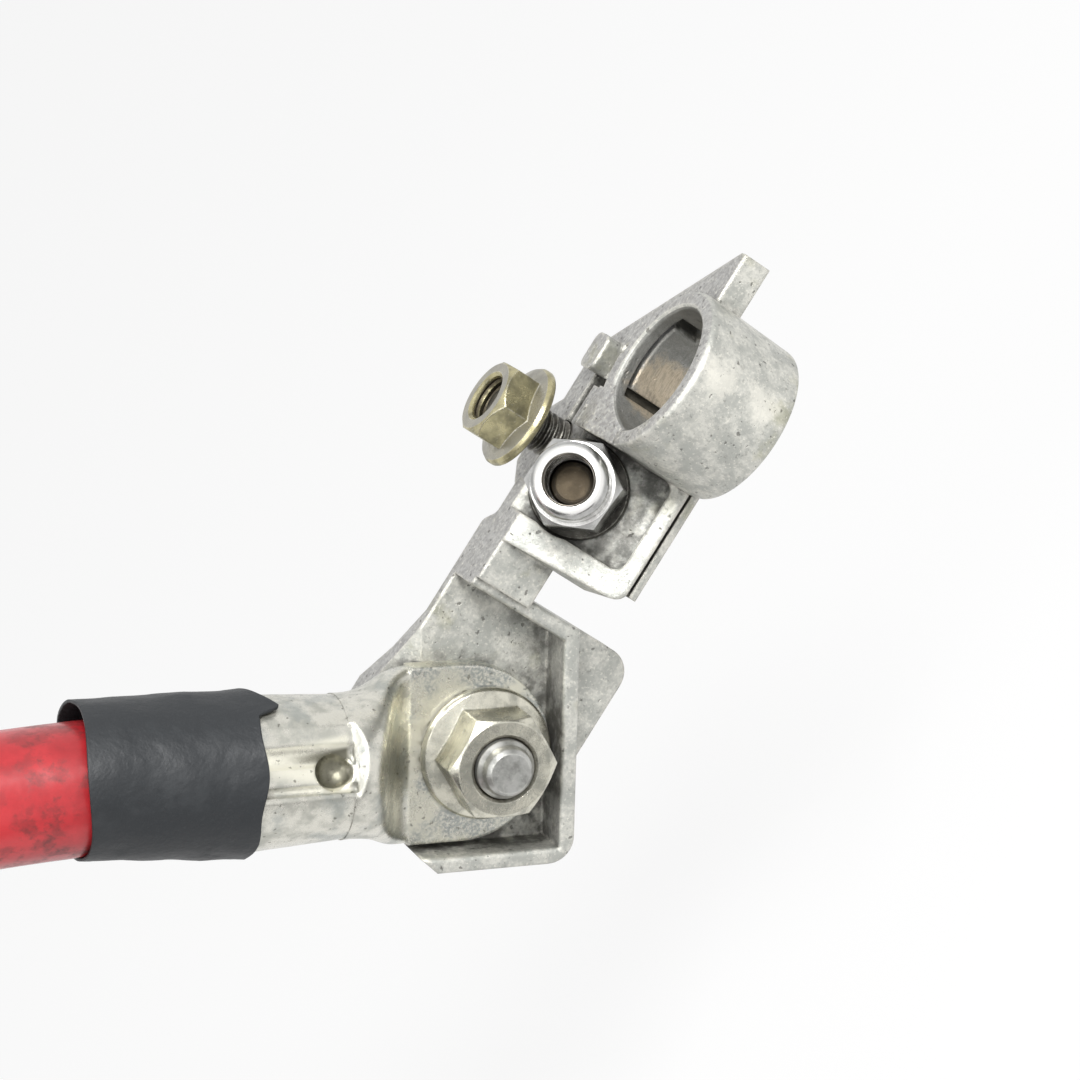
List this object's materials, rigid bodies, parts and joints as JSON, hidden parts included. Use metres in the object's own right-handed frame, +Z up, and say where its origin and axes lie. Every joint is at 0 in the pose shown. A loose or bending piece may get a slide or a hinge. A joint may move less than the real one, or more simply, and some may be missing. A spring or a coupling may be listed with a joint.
{
  "type": "battery cable connector",
  "caption": "Clamp for a battery post with a sloping tray and sleeve nut, a walled stud pocket that holds a crimped cable lug, and a short battery cable that ends in another lug",
  "frame": {"origin": "centre of the post bore at half its height", "axes": "+Z up the battery post and the clamp screw, -X along the bar from the post ring to the cable lug, +Y to the back of the bar"},
  "size_m": [0.303, 0.0439, 0.1854],
  "materials": {
    "casting": "satin, as cast, weathered",
    "steel": "satin, grey zinc",
    "yellow_zinc": "satin, yellow zinc plating",
    "pale_zinc": "satin, pale zinc plating",
    "dark_steel": "dull, dark",
    "bright_plating": "polished",
    "tinned_copper": "satin, tin plated",
    "strands": "bare copper strands",
    "tape": "matte vinyl",
    "cable_jacket": "glossy, smudged",
    "shrink_sleeve": "satin"
  },
  "bodies": {
    "clamp": {"clamp_body": "casting", "accessory_stud": "steel", "accessory_washer": "dark_steel", "big_stud": "steel", "cable_lug": "tinned_copper", "lug_core": "strands", "tape_wrap": "tape", "cable": "cable_jacket", "far_sleeve": "shrink_sleeve", "far_core": "strands", "far_lug": "tinned_copper"},
    "screw_and_yoke": {"clamp_screw": "steel", "clamp_yoke": "steel"},
    "clamp_nut": {"clamp_nut": "yellow_zinc"},
    "sleeve_nut": {"sleeve_nut": "bright_plating"},
    "lug_nut": {"lug_nut": "pale_zinc"}
  },
  "joints": [
    {"name": "clamp_nut_turn", "type": "hinge", "parent": "clamp", "child": "clamp_nut", "pos_m": [-0.0138, 0.0196, 0.0109], "axis": [0, 0, 1], "range_deg": [-720, 0]},
    {"name": "clamp_screw_rise", "type": "slide", "parent": "clamp", "child": "screw_and_yoke", "axis": [0, 0, 1], "range_m": [0, 0.002]},
    {"name": "sleeve_nut_turn", "type": "hinge", "parent": "clamp", "child": "sleeve_nut", "pos_m": [-0.0177, 0.01187, 0.00197], "axis": [0, -0.866, 0.5], "range_deg": [0, 1080]},
    {"name": "lug_nut_turn", "type": "hinge", "parent": "clamp", "child": "lug_nut", "pos_m": [-0.0534, 0.0159, -0.00835], "axis": [0, -1, 0], "range_deg": [0, 1080]}
  ],
  "couplings": [
    {"joint": "clamp_nut_turn", "follows": "clamp_screw_rise", "rad_per_m": -6283.2}
  ]
}
